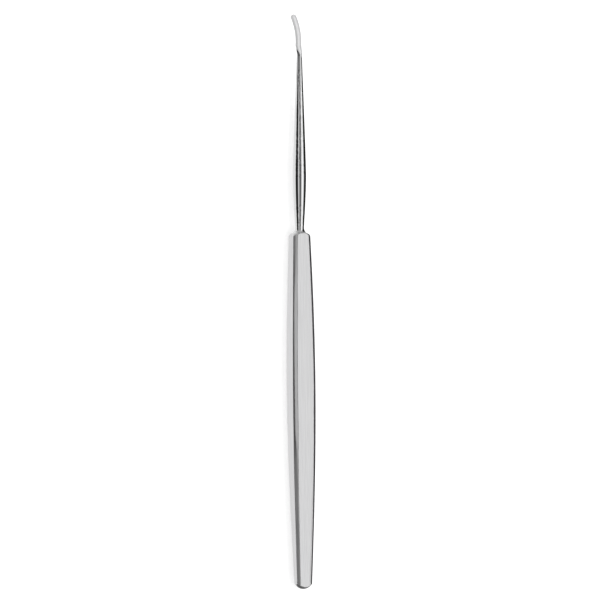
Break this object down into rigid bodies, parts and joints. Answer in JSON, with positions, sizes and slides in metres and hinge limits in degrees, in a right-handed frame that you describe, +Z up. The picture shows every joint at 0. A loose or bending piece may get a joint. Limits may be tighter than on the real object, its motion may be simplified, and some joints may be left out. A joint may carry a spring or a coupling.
{
  "type": "sickle knife",
  "caption": "Sickle knife with an octagonal handle, a slender turned shank and a small flat blade curved to one side, for fine cuts in surgery.",
  "frame": {"origin": "below the middle of the knife's box, on the surface that it lies on", "axes": "+Y along the handle from the butt to the blade, +Z up through the two main faces of the handle, and the blade curves towards -X"},
  "size_m": [0.0084, 0.19, 0.0072],
  "materials": {
    "steel": "satin flats on the handle, polished shank and shoulder, matt blade"
  },
  "bodies": {
    "root": {"sickle_knife": "steel"}
  },
  "joints": []
}
